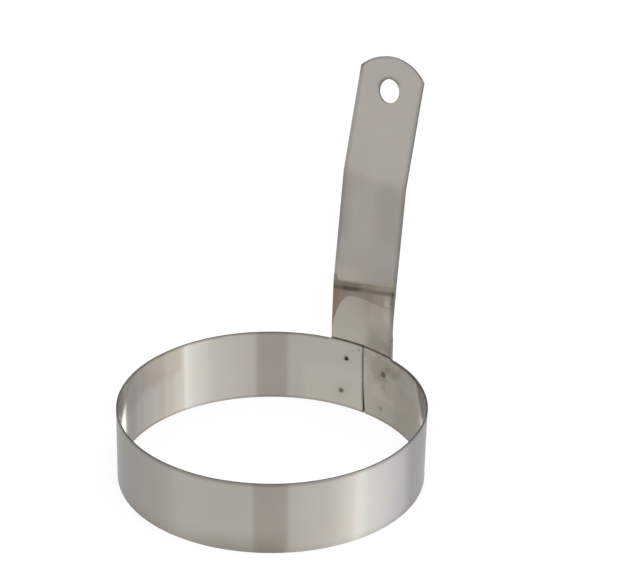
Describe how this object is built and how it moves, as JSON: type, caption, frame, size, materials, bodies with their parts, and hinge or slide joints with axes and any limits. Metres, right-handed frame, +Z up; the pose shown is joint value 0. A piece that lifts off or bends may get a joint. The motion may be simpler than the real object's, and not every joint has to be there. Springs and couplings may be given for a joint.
{
  "type": "plating ring with handle",
  "caption": "Round food-shaping ring of rolled stainless sheet with an upright bent strip handle, spot-welded over the seam and punched with a hang hole.",
  "frame": {"origin": "middle of the part's footprint box, on the plane of the ring's lower rim; the ring's own axis is parallel to Z, at X 0 and Y -7.98 mm", "axes": "+Z up along the ring's axis towards the handle's tip, +Y from the ring towards the handle, +X across the handle"},
  "size_m": [0.1016, 0.1176, 0.1267],
  "materials": {
    "band_steel": "bright rolled stainless sheet, grain along the strip",
    "handle_steel": "rolled stainless strip, faint grain, pressed and bent",
    "weld_steel": "heat-darkened weld metal, matt"
  },
  "bodies": {
    "root": {"ring_band": "band_steel", "handle": "handle_steel", "weld_upper_left": "weld_steel", "weld_lower_left": "weld_steel", "weld_upper_right": "weld_steel", "weld_lower_right": "weld_steel"}
  },
  "joints": []
}
